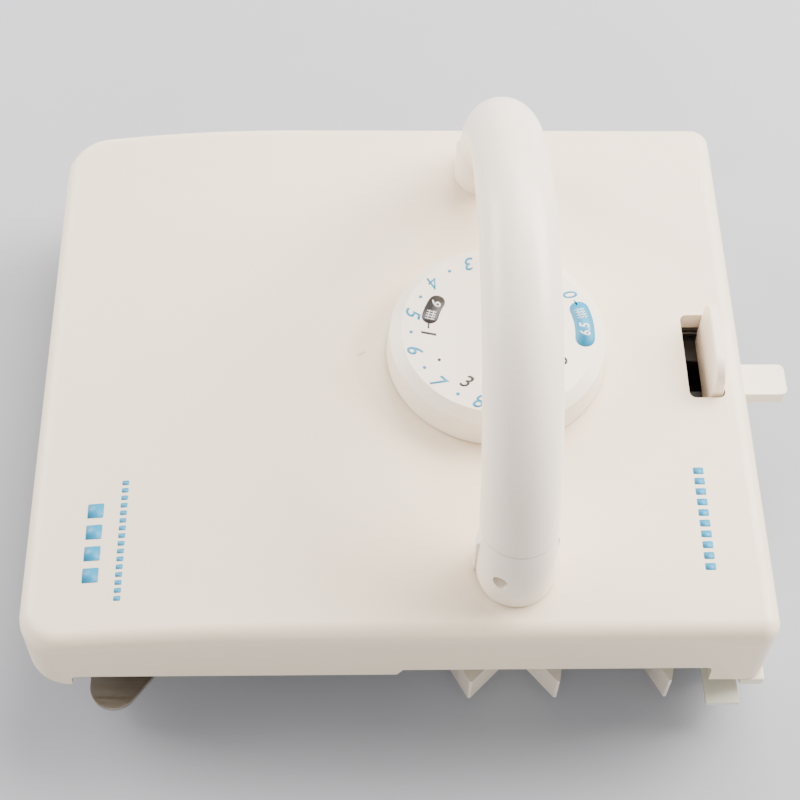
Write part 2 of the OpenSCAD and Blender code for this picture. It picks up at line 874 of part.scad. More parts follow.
module handle_pivot_pins() {
  pin_end_y = 77;
  color([0.75, 0.76, 0.78]) both_ends()
    translate([pivot_x, pin_end_y, pivot_z]) rotate([90, 0, 0])
      cylinder(r = pivot_r, h = pin_end_y - pivot_bore_y);
}

module handle_post_screws() {
  color([0.75, 0.76, 0.78]) both_ends()
    for (x = post_screw_x) pan_screw(x, post_screw_y, ceiling, 52);
}

cover();
cover_screws();
base_plate();
guide_cam_front();
guide_cam_middle();
guide_cam_rear();
lift_cam_left();
lift_cam_right();
centre_cam();
cam_screws();
rear_shoe_left();
rear_shoe_right();
rear_hook_left();
rear_hook_right();
shoe_screws();
front_shoe_left();
front_shoe_right();
presser_plate();
presser_brackets();
presser_screws();
brush_axles();
brush_hub_left();
brush_hub_right();
brush_left();
brush_right();
dial();
dial_spindle();
dial_bush();
dial_clip();
stitch_disc();
dial_detent_spring();
stitch_slider();
stitch_follower();
slider_guides();
stitch_cam_left();
stitch_cam_right();
stitch_clip_left();
stitch_clip_right();
trip_lever();
trip_guide();
trip_detent_spring();
handle_grip();
handle_cap_left();
handle_cap_right();
handle_post_left();
handle_post_right();
handle_pivot_pins();
handle_post_screws();
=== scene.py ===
"""Looks of the intarsia carriage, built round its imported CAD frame.

Helpers that make meshes take millimetres in the part's frame: +X to the rear, +Y to the left
end of the carriage, +Z up. Objects are in metres.
"""

import json
import math
import random

import bmesh
import bpy
from mathutils import Matrix, Vector


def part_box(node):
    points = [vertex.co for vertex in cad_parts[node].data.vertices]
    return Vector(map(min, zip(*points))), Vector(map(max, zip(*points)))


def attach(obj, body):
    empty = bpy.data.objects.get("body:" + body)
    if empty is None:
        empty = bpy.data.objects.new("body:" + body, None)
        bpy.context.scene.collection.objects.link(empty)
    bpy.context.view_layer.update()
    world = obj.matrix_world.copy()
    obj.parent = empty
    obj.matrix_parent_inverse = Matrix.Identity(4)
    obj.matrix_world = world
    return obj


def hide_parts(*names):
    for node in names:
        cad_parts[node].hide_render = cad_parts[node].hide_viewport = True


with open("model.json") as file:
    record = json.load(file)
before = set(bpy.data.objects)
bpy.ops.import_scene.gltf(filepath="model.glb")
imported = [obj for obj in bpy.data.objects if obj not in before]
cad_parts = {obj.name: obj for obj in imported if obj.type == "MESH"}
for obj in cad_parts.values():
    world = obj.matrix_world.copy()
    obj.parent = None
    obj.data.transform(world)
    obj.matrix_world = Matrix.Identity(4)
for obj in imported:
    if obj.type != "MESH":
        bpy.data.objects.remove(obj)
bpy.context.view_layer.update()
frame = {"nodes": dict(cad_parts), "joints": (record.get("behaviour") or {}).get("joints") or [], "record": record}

MM = 0.001


# ---------- places that the CAD frame fixes, in mm ----------

def box_mm(node):
    lo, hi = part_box(node)
    return lo / MM, hi / MM


def joint(name):
    return next(j for j in frame["joints"] if j["name"] == name)


COVER_LO, COVER_HI = box_mm("cover")
TOP = COVER_HI.z
HALF_X = COVER_HI.x
HALF_Y = COVER_HI.y
LEG_Z = COVER_LO.z
DIAL_LO, DIAL_HI = box_mm("dial")
DIAL_X = (DIAL_LO.x + DIAL_HI.x) / 2
DIAL_Y = (DIAL_LO.y + DIAL_HI.y) / 2
DIAL_R = (DIAL_HI.x - DIAL_LO.x) / 2
GRIP_LO, GRIP_HI = box_mm("handle_grip")
CAP_LO, CAP_HI = box_mm("handle_cap_left")
GRIP_R = (GRIP_HI.x - GRIP_LO.x) / 2
HANDLE_X = (GRIP_LO.x + GRIP_HI.x) / 2
HALF_SPAN = CAP_HI.y - GRIP_R
FOOT_SPLIT_Y = CAP_LO.y
PIVOT_X = joint("handle_fold")["pos_m"][0] / MM
PIVOT_Z = joint("handle_fold")["pos_m"][2] / MM
LEVER_LO, LEVER_HI = box_mm("trip_lever")

# ---------- shape of the cover ----------

EDGE_R = 5.0
FRONT_CORNER_R = 13.0
REAR_CORNER_R = 6.0
WALL = 2.6
DROP_R = 405.0  # the top is flat behind DROP_X and droops on this radius in front of it
DROP_X = -30.0
# The lower rim along a long side, as (x, z) from the knitter's leg to the rear leg.
SKIRT = [
    (-HALF_X, LEG_Z), (-91.6, LEG_Z), (-91.4, 20.5), (-91.0, 21.5), (-89.9, 22.0), (-0.2, 22.0),
    (1.4, 25.0), (87.1, 25.0), (88.2, 24.5), (88.6, 23.5), (88.8, LEG_Z), (HALF_X, LEG_Z),
]
SLOT_X = (87.3, 98.0)
SLOT_Y = 15.0
SLOT_R = 2.0
COLLAR_WALL = 2.0
COLLAR_Z = 39.5
BOSS_R = 4
FRONT_BOSS_DROP = 4.5
BOSS_AT = [(-92, 60), (62, 60)]
POST_SCREW_AT = [(28.5, 67), (37, 67)]
SCREW_HOLE_R = 1.55
SCREW_HOLE_SIDES = 24
BUSH_HOLE_R = 7.5
PLAY = 0.3
TAB_HALF = 5.5
TAB_TOP = 33.0
INK_Z = 0.03  # how far a print stands proud of its face
SHY = 0.02  # keeps two faces that would lie in one plane apart


# ---------- mesh helpers ----------

def loft(rings, ends=True):
    """Quads between rings that hold equally many points. Returns (points, faces)."""
    n = len(rings[0])
    points = [p for ring in rings for p in ring]
    faces = []
    for k in range(len(rings) - 1):
        for i in range(n):
            j = (i + 1) % n
            faces.append((k * n + i, k * n + j, (k + 1) * n + j, (k + 1) * n + i))
    if ends:
        faces.append(tuple(reversed(range(n))))
        faces.append(tuple(range((len(rings) - 1) * n, len(rings) * n)))
    return points, faces


def prism(outline, z0, z1):
    return loft([[(x, y, z0) for x, y in outline], [(x, y, z1) for x, y in outline]])


def lathe(profile, x, y, sides=96):
    """Turns a profile of (radius, height) about a vertical axis. Radius 0 makes a pole."""
    points, rows = [], []
    for r, z in profile:
        if r < 1e-6:
            rows.append([len(points)] * sides)
            points.append((x, y, z))
            continue
        rows.append(list(range(len(points), len(points) + sides)))
        for i in range(sides):
            a = 2 * math.pi * i / sides
            points.append((x + r * math.cos(a), y + r * math.sin(a), z))
    pairs = list(zip(rows, rows[1:]))
    if profile[0][0] > 0 and profile[-1][0] > 0:
        pairs.append((rows[-1], rows[0]))
    faces = []
    for a, b in pairs:
        for i in range(sides):
            j = (i + 1) % sides
            corners = [a[i], a[j], b[j], b[i]]
            faces.append(tuple(dict.fromkeys(corners)))
    return points, faces


def arc(cx, cy, r, a0, a1, steps):
    """Points on an arc, angles in degrees."""
    turns = [math.radians(a0 + (a1 - a0) * i / steps) for i in range(steps + 1)]
    return [(cx + r * math.cos(a), cy + r * math.sin(a)) for a in turns]


def circle(cx, cy, r, sides):
    return arc(cx, cy, r, 0, 360 * (sides - 1) / sides, sides - 1)


def rounded_rect(x0, x1, y0, y1, r, steps):
    return (
        arc(x1 - r, y1 - r, r, 0, 90, steps) + arc(x0 + r, y1 - r, r, 90, 180, steps)
        + arc(x0 + r, y0 + r, r, 180, 270, steps) + arc(x1 - r, y0 + r, r, 270, 360, steps)
    )


def block(x0, x1, y0, y1, z0, z1):
    return prism([(x0, y0), (x1, y0), (x1, y1), (x0, y1)], z0, z1)


def moved(shape, matrix):
    points, faces = shape
    return [tuple(matrix @ Vector(p)) for p in points], faces


def mirrored(shape):
    points, faces = shape
    return [(x, -y, z) for x, y, z in points], [tuple(reversed(f)) for f in faces]


def both_ends(shape):
    return merged(shape, mirrored(shape))


def merged(*shapes):
    points, faces = [], []
    for p, f in shapes:
        faces += [tuple(i + len(points) for i in face) for face in f]
        points += p
    return points, faces


def solid(name, shape):
    """A new object from a shape in millimetres, its faces turned outwards."""
    points, faces = shape
    mesh = bpy.data.meshes.new(name)
    mesh.from_pydata([[c * MM for c in p] for p in points], [], faces)
    work = bmesh.new()
    work.from_mesh(mesh)
    bmesh.ops.recalc_face_normals(work, faces=work.faces)
    work.to_mesh(mesh)
    work.free()
    mesh.shade_smooth()
    obj = bpy.data.objects.new(name, mesh)
    bpy.context.scene.collection.objects.link(obj)
    return obj


def combine(obj, shape, operation):
    """Cuts, joins or intersects obj with a shape, for good."""
    tool = solid("tool", shape)
    step = obj.modifiers.new("combine", "BOOLEAN")
    step.object = tool
    step.operation = operation
    step.solver = "EXACT"
    graph = bpy.context.evaluated_depsgraph_get()
    mesh = bpy.data.meshes.new_from_object(obj.evaluated_get(graph))
    obj.modifiers.clear()
    obj.data = mesh
    tool_mesh = tool.data
    bpy.data.objects.remove(tool)
    bpy.data.meshes.remove(tool_mesh)
    obj.data.shade_smooth()
    return obj


def read_shape(mesh):
    """A mesh's shape in millimetres."""
    return [tuple(v.co / MM) for v in mesh.vertices], [tuple(f.vertices) for f in mesh.polygons]


def shape_of(obj):
    """Takes an object away and gives back its shape in millimetres."""
    mesh = obj.data
    shape = read_shape(mesh)
    bpy.data.objects.remove(obj)
    bpy.data.meshes.remove(mesh)
    return shape


def soften(obj, width, segments, angle=40):
    """Rounds edges sharper than angle by width mm and shades the faces by their area."""
    bevel = obj.modifiers.new("round_edges", "BEVEL")
    bevel.width = width * MM
    bevel.segments = segments
    bevel.limit_method = "ANGLE"
    bevel.angle_limit = math.radians(angle)
    bevel.miter_outer = "MITER_ARC"
    shade = obj.modifiers.new("shade", "WEIGHTED_NORMAL")
    shade.keep_sharp = False
    return obj


def dress(obj, material, body, stands_for=()):
    """Gives a new piece its material, the CAD body it rides on and the nodes it stands for."""
    obj.data.materials.clear()
    obj.data.materials.append(material)
    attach(obj, body)
    if stands_for:
        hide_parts(*stands_for)
    return obj


# ---------- materials ----------

class Nodes:
    """Short ways to add nodes to one material."""

    def __init__(self, name):
        self.material = bpy.data.materials.new(name)
        self.material.use_nodes = True
        self.tree = self.material.node_tree
        self.shader = self.tree.nodes["Principled BSDF"]
        self.place = self.add("ShaderNodeTexCoord").outputs["Object"]

    def add(self, kind, **values):
        node = self.tree.nodes.new(kind)
        for key, value in values.items():
            setattr(node, key, value)
        return node

    def link(self, a, b):
        self.tree.links.new(a, b)

    def stretched(self, scale):
        mapping = self.add("ShaderNodeMapping")
        mapping.inputs["Scale"].default_value = scale
        self.link(self.place, mapping.inputs["Vector"])
        return mapping.outputs["Vector"]

    def noise(self, scale, detail, vector=None, roughness=0.5):
        node = self.add("ShaderNodeTexNoise")
        node.inputs["Scale"].default_value = scale
        node.inputs["Detail"].default_value = detail
        node.inputs["Roughness"].default_value = roughness
        self.link(vector or self.place, node.inputs["Vector"])
        return node.outputs["Fac"]

    def spread(self, source, low, high, source_low=0.3, source_high=0.7):
        node = self.add("ShaderNodeMapRange")
        node.inputs["From Min"].default_value = source_low
        node.inputs["From Max"].default_value = source_high
        node.inputs["To Min"].default_value = low
        node.inputs["To Max"].default_value = high
        self.link(source, node.inputs["Value"])
        return node.outputs["Result"]

    def mix(self, factor, a, b):
        """Mixes two colours. Each value may be a constant or an output."""
        node = self.add("ShaderNodeMix", data_type="RGBA", blend_type="MIX")
        slots = [(node.inputs[0], factor), (node.inputs[6], a), (node.inputs[7], b)]
        for socket, value in slots:
            if hasattr(value, "is_output"):
                self.link(value, socket)
            else:
                socket.default_value = value
        return node.outputs[2]

    def bump(self, height, distance, strength=1.0, after=None):
        node = self.add("ShaderNodeBump")
        node.inputs["Strength"].default_value = strength
        node.inputs["Distance"].default_value = distance * MM
        self.link(height, node.inputs["Height"])
        if after:
            self.link(after, node.inputs["Normal"])
        return node.outputs["Normal"]

    def crevices(self, distance):
        """1 on open faces, falling to 0 in gaps and corners."""
        node = self.add("ShaderNodeAmbientOcclusion", samples=4)
        node.inputs["Distance"].default_value = distance * MM
        return node.outputs["AO"]

    def set(self, **values):
        for key, value in values.items():
            socket = self.shader.inputs[key.replace("_", " ")]
            if hasattr(value, "is_output"):
                self.link(value, socket)
            else:
                socket.default_value = value


def rgb(r, g, b):
    """An sRGB colour of 0 to 255 as a linear RGBA."""
    parts = [c / 255 for c in (r, g, b)]
    linear = [c / 12.92 if c <= 0.04045 else ((c + 0.055) / 1.055) ** 2.4 for c in parts]
    return (*linear, 1.0)


def moulded_plastic(name, colour, tint, grime_and_shade, roughness, grain, glow=0.06):
    """Injection-moulded plastic: faint yellowing, fine grain, grime specks, and painted shade that darkens the
    crevices towards the grime colour.
    """
    m = Nodes(name)
    patches = m.spread(m.noise(9, 2), 0, 0.55)
    base = m.mix(patches, colour, tint)
    specks = m.spread(m.noise(900, 2), 0.0, 0.05, 0.55, 0.75)
    base = m.mix(specks, base, grime_and_shade)
    # Painted shade: ambient occlusion darkens gaps and corners towards the grime colour.
    crevice_shade = m.spread(m.crevices(2.5), 0.42, 0.0, 0.2, 0.85)
    base = m.mix(crevice_shade, base, grime_and_shade)
    m.set(Base_Color=base)
    m.set(Roughness=m.spread(m.noise(60, 4), roughness - 0.05, roughness + 0.07))
    swell = m.bump(m.noise(22, 1), 0.10, 0.12)
    m.set(Normal=m.bump(m.noise(1500, 2), 0.03, grain, swell))
    m.set(Subsurface_Weight=glow, Subsurface_Scale=0.002)
    m.shader.inputs["Subsurface Radius"].default_value = (1.0, 0.7, 0.45)
    m.set(IOR=1.5)
    return m.material


def brushed_metal(name, colour, stain, roughness, stretch=(40, 1400, 1400)):
    """Rolled or brushed metal with a direction, small scratches and dull patches."""
    m = Nodes(name)
    lines = m.noise(1.0, 4, m.stretched(stretch), 0.6)
    patches = m.spread(m.noise(55, 3), 0, 0.6)
    base = m.mix(patches, colour, stain)
    base = m.mix(m.spread(lines, 0, 0.35), base, stain)
    m.set(Base_Color=base, Metallic=1.0)
    m.set(Roughness=m.spread(lines, roughness - 0.06, roughness + 0.12))
    m.set(Normal=m.bump(lines, 0.02, 0.5))
    return m.material


def soft_nylon(name, colour, tint):
    """Half-clear slider nylon: light passes a little way in, and the rubbed faces dull."""
    m = Nodes(name)
    base = m.mix(m.spread(m.noise(120, 3), 0, 1), colour, tint)
    m.set(Base_Color=base, Subsurface_Weight=0.35, Subsurface_Scale=0.004)
    m.set(Roughness=m.spread(m.noise(300, 3), 0.32, 0.48))
    m.set(Normal=m.bump(m.noise(500, 3), 0.03, 0.3))
    return m.material


def printed_ink(name, colour, worn_to):
    """Pad-printed ink, thin enough for the plastic's grain to show."""
    m = Nodes(name)
    base = m.mix(m.spread(m.noise(700, 3), 0.0, 0.35, 0.45, 0.75), colour, worn_to)
    m.set(Base_Color=base, Roughness=m.spread(m.noise(900, 2), 0.38, 0.55))
    m.set(Normal=m.bump(m.noise(1500, 2), 0.02, 0.3))
    return m.material


def hair_fibre(name, colour, tip):
    """Dark brush bristle, a little lighter in places."""
    m = Nodes(name)
    base = m.mix(m.spread(m.noise(800, 2), 0, 1), colour, tip)
    m.set(Base_Color=base, Roughness=m.spread(m.noise(500, 2), 0.35, 0.6))
    m.set(Normal=m.bump(m.noise(2500, 2), 0.02, 0.4))
    return m.material


CREAM = moulded_plastic(
    "cream_plastic", rgb(246, 230, 206), rgb(243, 225, 198), rgb(180, 158, 126), 0.42, 0.35)
PALE = moulded_plastic(
    "pale_plastic", rgb(254, 242, 226), rgb(252, 239, 221), rgb(190, 171, 143), 0.32, 0.18)
CAM = moulded_plastic(
    "cam_plastic", rgb(236, 227, 210), rgb(230, 219, 200), rgb(154, 141, 118), 0.42, 0.3)
DARK = moulded_plastic(
    "dark_plastic", rgb(38, 33, 30), rgb(30, 26, 23), rgb(66, 54, 44), 0.58, 0.35, 0.0)
NYLON = soft_nylon("nylon", rgb(218, 222, 206), rgb(207, 213, 195))
SHEET = brushed_metal("sheet_steel", rgb(190, 190, 188), rgb(168, 166, 160), 0.30)
PRESSER = brushed_metal("presser_steel", rgb(196, 190, 178), rgb(160, 152, 138), 0.38)
SCREW = brushed_metal("screw_steel", rgb(198, 198, 196), rgb(160, 158, 154), 0.24, (600, 600, 90))
SPRING = brushed_metal("spring_steel", rgb(150, 152, 156), rgb(112, 112, 116), 0.28)
BRISTLE = hair_fibre("bristle", rgb(34, 32, 32), rgb(66, 60, 56))
BLUE_INK = printed_ink("blue_ink", rgb(8, 140, 184), rgb(26, 150, 191))
BLACK_INK = printed_ink("black_ink", rgb(46, 42, 39), rgb(76, 70, 65))
WHITE_INK = printed_ink("white_ink", rgb(236, 238, 238), rgb(214, 220, 222))

SLOT_MATERIAL = {
    "cover_plastic": CREAM, "handle_plastic": PALE, "dial_plastic": PALE,
    "cam_plastic": CAM, "dark_plastic": DARK, "nylon": NYLON, "sheet_steel": SHEET,
    "presser_steel": PRESSER, "screw_steel": SCREW, "spring_steel": SPRING,
    "bristle": BRISTLE,
}


# ---------- cover ----------

def cover_top_z(x):
    """Height of the outer face of the top: flat, then drooping on a large radius."""
    if x >= DROP_X:
        return TOP
    return TOP - DROP_R + math.sqrt(DROP_R ** 2 - (x - DROP_X) ** 2)


def skirt_z(x):
    """Height of the cover's lower rim along its long sides."""
    for (xa, za), (xb, zb) in zip(SKIRT, SKIRT[1:]):
        if x <= xb:
            return za + (zb - za) * (x - xa) / (xb - xa)
    return LEG_Z


def side_stations():
    """Places along the side between the two corner arcs: even steps and the rim's own corners."""
    start = -HALF_X + FRONT_CORNER_R
    end = HALF_X - REAR_CORNER_R
    fine = [start + 3.0 * i for i in range(1, 21)]
    coarse = [DROP_X + 6 * i for i in range(1, 22)]
    corners = [x for x, z in SKIRT[1:-1]]
    places = sorted(fine + coarse + corners)
    kept = []
    for x in places:
        crowded = any(abs(x - c) < 1.2 for c in corners) and x not in corners
        if start < x < end - 1 and not crowded:
            kept.append(x)
    return kept


def half_outline(inset):
    """Left half of the cover's outline, from the knitter's edge round to the rear edge."""
    front_x, front_y = -HALF_X + FRONT_CORNER_R, HALF_Y - FRONT_CORNER_R
    rear_x, rear_y = HALF_X - REAR_CORNER_R, HALF_Y - REAR_CORNER_R
    front = arc(front_x, front_y, FRONT_CORNER_R - inset, 180, 90, 14)
    rear = arc(rear_x, rear_y, REAR_CORNER_R - inset, 90, 0, 10)
    return front + [(x, HALF_Y - inset) for x in side_stations()] + rear


def cover_ring(inset, height):
    """A closed ring round the cover. height gives z from a point's x."""
    half = [(x, y, height(x)) for x, y in half_outline(inset)]
    return half + [(x, -y, z) for x, y, z in reversed(half)]


def cover_sheet():
    """The moulded shell without its holes: outer face, rim and inner face."""
    steps = 7
    rings = []
    inner_r = EDGE_R - WALL
    for k in range(steps + 1):
        a = math.pi / 2 * (1 - k / steps)
        inset = WALL + inner_r * (1 - math.cos(a))
        lower = WALL + inner_r * (1 - math.sin(a))
        rings.append(cover_ring(inset, lambda x, d=lower: cover_top_z(x) - d))
    rings.append(cover_ring(WALL, skirt_z))
    rings.append(cover_ring(0, skirt_z))
    for k in range(steps + 1):
        a = math.pi / 2 * k / steps
        inset = EDGE_R * (1 - math.cos(a))
        lower = EDGE_R * (1 - math.sin(a))
        rings.append(cover_ring(inset, lambda x, d=lower: cover_top_z(x) - d))
    points, faces = loft(rings, ends=False)
    n = len(rings[0])
    for start in (0, (len(rings) - 1) * n):
        for i in range(n // 2 - 1):
            faces.append((start + i, start + i + 1, start + n - 2 - i, start + n - 1 - i))
    return points, faces


def lever_slot(extra):
    """Outline of the trip lever's slot, larger by extra all round."""
    return rounded_rect(
        SLOT_X[0] - extra, SLOT_X[1] + extra, -SLOT_Y - extra, SLOT_Y + extra, SLOT_R + extra, 8)


def build_cover():
    plate_top = box_mm("base_plate")[1].z
    inside = TOP - WALL / 2
    above = TOP + 2
    under_top = 38
    obj = solid("cover_shell", cover_sheet())
    bosses = []
    for x, y in BOSS_AT:
        boss_top = inside - (FRONT_BOSS_DROP if x < 0 else 0)
        bosses.append(prism(circle(x, y, BOSS_R, SCREW_HOLE_SIDES), plate_top, boss_top))
    collar = prism(lever_slot(COLLAR_WALL), COLLAR_Z, inside)
    combine(obj, merged(both_ends(merged(*bosses)), collar), "UNION")
    screw_holes = [prism(circle(x, y, SCREW_HOLE_R, SCREW_HOLE_SIDES), 10, 30) for x, y in BOSS_AT]
    post_holes = [prism(circle(x, y, SCREW_HOLE_R, SCREW_HOLE_SIDES), under_top, above)
                  for x, y in POST_SCREW_AT]
    tab_half = TAB_HALF + PLAY
    cuts = merged(
        both_ends(merged(*screw_holes, *post_holes)),
        prism(lever_slot(0), 30, above),
        prism(circle(DIAL_X, DIAL_Y, BUSH_HOLE_R, 60), under_top, above),
        block(HALF_X - 8, HALF_X + 2, -tab_half, tab_half, LEVER_LO.z - PLAY, TAB_TOP + PLAY),
    )
    combine(obj, cuts, "DIFFERENCE")
    soften(obj, 0.35, 2, 50)
    return dress(obj, CREAM, "carriage", ["cover"])


def on_cover(outline, low, high):
    """A thin plate that follows the top of the cover."""
    bottom = [(x, y, cover_top_z(x) + low) for x, y in outline]
    top = [(x, y, cover_top_z(x) + high) for x, y in outline]
    return loft([bottom, top])


def dash_row(x, y0, y1, height, dash, gap_width):
    """A row of printed dashes along Y, centred on x and spread evenly from y0 to y1."""
    count = int((abs(y1 - y0) + gap_width) / (dash + gap_width))
    pitch = (abs(y1 - y0) - dash) / (count - 1)
    marks = []
    for i in range(count):
        y = min(y0, y1) + i * pitch
        outline = rounded_rect(x - height / 2, x + height / 2, y, y + dash, 0.3, 3)
        marks.append(on_cover(outline, -0.1, INK_Z))
    return merged(*marks)


def build_cover_marks():
    """Plain dashes where the real cover has lettering, and the moulded mark the dial is read at."""
    rows = merged(
        dash_row(-77.2, -41, -79, 2.0, 1.5, 0.9),
        dash_row(-85.2, -48, -73, 4.6, 4.6, 2.0),
        dash_row(86.8, -39, -72, 3.0, 2.2, 1.0),
    )
    dress(solid("cover_print", rows), BLUE_INK, "carriage")
    tip_x, tip_y = -8.6, 1.5
    length, half = 2.2, 1.3
    outline = [(tip_x, tip_y), (tip_x - length, tip_y + half), (tip_x - length, tip_y - half)]
    mark = solid("index_mark", on_cover(outline, -0.4, 0.25))
    dress(soften(mark, 0.12, 2), CREAM, "carriage")


# ---------- handle ----------

# The tube's centre line is a large crown arc that meets a tighter shoulder arc at each end.
SHOULDER_R = 39.0
SHOULDER_ANGLE = 23.0
SHOULDER_TURN = math.radians(SHOULDER_ANGLE)
GRIP_BORE_R = 8.2
CROWN_R = (HALF_SPAN - SHOULDER_R * (1 - math.cos(SHOULDER_TURN))) / math.cos(SHOULDER_TURN)
CROWN_Z = GRIP_HI.z - GRIP_R - CROWN_R
SHOULDER_Z = CROWN_Z + (CROWN_R - SHOULDER_R) * math.sin(SHOULDER_TURN)
SEAM_Y = 69.2
SEAM_Z = 65.1
SEAM_TILT = 7.15
SEAM_GAP = 0.2
HEEL_R = 9.7
TONGUE_R = 8.1
TONGUE_H = 5.0
PIN_BORE_R = 2.05
BORE_SIDES = 48


def bent_tube(y, z, bend_r, tube_r, a0, a1, steps, sides=72):
    """A tube along an arc that stands in the YZ plane about (y, z)."""
    rings = []
    for k in range(steps + 1):
        a = math.radians(a0 + (a1 - a0) * k / steps)
        ring = []
        for i in range(sides):
            b = 2 * math.pi * i / sides
            r = bend_r + tube_r * math.cos(b)
            ring.append((HANDLE_X + tube_r * math.sin(b), y + r * math.cos(a), z + r * math.sin(a)))
        rings.append(ring)
    return loft(rings)


def below_seam(lift):
    """The half space under the slanted joint at the left end, as a large block."""
    place = Matrix.Translation((HANDLE_X, SEAM_Y, SEAM_Z + lift))
    turn = Matrix.Rotation(math.radians(SEAM_TILT), 4, "X")
    return moved(block(-20, 20, -30, 30, -40, 0), place @ turn)


def across(r, y0, y1, sides=64):
    """A cylinder along Y about the handle's pivot."""
    rings = []
    for y in (y0, y1):
        rings.append([(x, y, z) for x, z in circle(PIVOT_X, PIVOT_Z, r, sides)])
    return loft(rings)


def round_handle_edges(obj):
    return soften(obj, 0.4, 3, 48)


def build_grip():
    """The hollow tube above the two seams. lap is how far it starts beyond them, in degrees."""
    lap = 9
    start = SHOULDER_ANGLE - lap
    obj = solid("grip_tube", bent_tube(0, CROWN_Z, CROWN_R, GRIP_R, start, 180 - start, 132))
    bore = bent_tube(0, CROWN_Z, CROWN_R, GRIP_BORE_R, start - 1, 181 - start, 90, BORE_SIDES)
    combine(obj, bore, "DIFFERENCE")
    combine(obj, both_ends(below_seam(0)), "DIFFERENCE")
    round_handle_edges(obj)
    return dress(obj, PALE, "handle", ["handle_grip"])


def cap_shape(name):
    """The left end cap: the tube's bend below the seam, outboard of the post.

    Its heel is round about the pivot, and a tongue reaches up into the grip's bore.
    """
    y = HALF_SPAN - SHOULDER_R
    behind, inner, outer = 70, 60, 100
    obj = solid(name, bent_tube(y, SHOULDER_Z, SHOULDER_R, GRIP_R, -2, SHOULDER_ANGLE + 9, 40))
    combine(obj, below_seam(-SEAM_GAP), "INTERSECT")
    combine(obj, block(0, behind, FOOT_SPLIT_Y, outer, CAP_LO.z, 100), "INTERSECT")
    heel = across(HEEL_R, inner, outer)
    front_cut = block(0, PIVOT_X, inner, outer, 40, PIVOT_Z)
    tool = combine(solid("heel_cut", front_cut), heel, "DIFFERENCE")
    combine(obj, shape_of(tool), "DIFFERENCE")
    tongue = solid("tongue", bent_tube(0, CROWN_Z, CROWN_R, TONGUE_R, 20, 40, 20, BORE_SIDES))
    reach = block(0, behind, FOOT_SPLIT_Y + SHY, outer, SEAM_Z - 4, SEAM_Z + TONGUE_H)
    combine(tongue, reach, "INTERSECT")
    combine(obj, shape_of(tongue), "UNION")
    combine(obj, across(PIN_BORE_R, inner, outer, 40), "DIFFERENCE")
    return obj


def build_caps():
    left = cap_shape("end_cap_left")
    right = solid("end_cap_right", mirrored(read_shape(left.data)))
    for obj, node in ((left, "handle_cap_left"), (right, "handle_cap_right")):
        round_handle_edges(obj)
        dress(obj, PALE, "handle", [node])


# ---------- dial ----------

DIAL_WALL_TOP = DIAL_HI.z - 2.4
DIAL_WALL_R = DIAL_R - 0.8
DIAL_FACE_R = 28.6


def build_dial():
    base_z = DIAL_LO.z
    top_z = DIAL_HI.z
    skin = 2.4
    hub_r = 9.0
    drive = 3.25
    socket_top = 52.1
    profile = [
        (0, top_z), (DIAL_FACE_R, top_z), (DIAL_WALL_R, DIAL_WALL_TOP), (DIAL_R, base_z),
        (DIAL_R - skin, base_z), (DIAL_FACE_R - 1.2, top_z - skin), (hub_r, top_z - skin),
        (hub_r, base_z), (0, base_z),
    ]
    obj = solid("dial_knob", lathe(profile, DIAL_X, DIAL_Y, 160))
    socket = block(
        DIAL_X - drive, DIAL_X + drive, DIAL_Y - drive, DIAL_Y + drive, base_z - 1, socket_top)
    combine(obj, socket, "DIFFERENCE")
    soften(obj, 0.7, 4, 18)
    return dress(obj, PALE, "dial_unit", ["dial"])


def dial_place(angle, radius):
    """Puts a mark drawn about the origin on the dial's face, its top towards the centre."""
    a = math.radians(angle)
    x = DIAL_X + radius * math.cos(a)
    y = DIAL_Y + radius * math.sin(a)
    place = Matrix.Translation((x, y, DIAL_HI.z))
    return place @ Matrix.Rotation(a + math.pi / 2, 4, "Z")


def glyph(text, height, low, high, shear=0.28, width=1.0, bold=0.14):
    """Numbers as a thin flat shape about the origin, height mm tall. bold widens the strokes."""
    curve = bpy.data.curves.new("glyph", "FONT")
    curve.body = text
    curve.size = 10
    curve.shear = shear
    curve.align_x = "CENTER"
    curve.extrude = 0.5
    curve.offset = bold
    obj = bpy.data.objects.new("glyph", curve)
    bpy.context.scene.collection.objects.link(obj)
    graph = bpy.context.evaluated_depsgraph_get()
    mesh = bpy.data.meshes.new_from_object(obj.evaluated_get(graph))
    work = bmesh.new()
    work.from_mesh(mesh)
    bmesh.ops.remove_doubles(work, verts=work.verts, dist=1e-5)
    points = [tuple(v.co) for v in work.verts]
    faces = [tuple(v.index for v in f.verts) for f in work.faces]
    work.free()
    bpy.data.objects.remove(obj)
    bpy.data.curves.remove(curve)
    bpy.data.meshes.remove(mesh)
    xs = [p[0] for p in points]
    ys = [p[1] for p in points]
    scale = height / (max(ys) - min(ys))
    mid_x = (max(xs) + min(xs)) / 2
    mid_y = (max(ys) + min(ys)) / 2
    points = [((x - mid_x) * scale * width, (y - mid_y) * scale, low if z < 0 else high)
              for x, y, z in points]
    return points, faces


def dot(radius, low, high):
    return prism(circle(0, 0, radius, 18), low, high)


def arc_badge(a0, a1, radius, width, low, high):
    """A capsule that bends round the dial from angle a0 to a1, with round ends."""
    half = width / 2
    outer = arc(DIAL_X, DIAL_Y, radius + half, a0, a1, 24)
    inner = arc(DIAL_X, DIAL_Y, radius - half, a1, a0, 24)
    end_x, end_y = arc(DIAL_X, DIAL_Y, radius, a1, a1, 1)[0]
    start_x, start_y = arc(DIAL_X, DIAL_Y, radius, a0, a0, 1)[0]
    end = arc(end_x, end_y, half, a1, a1 + 180, 12)[1:-1]
    start = arc(start_x, start_y, half, a0 + 180, a0 + 360, 12)[1:-1]
    outline = outer + end + inner + start
    return prism(outline, DIAL_HI.z + low, DIAL_HI.z + high)


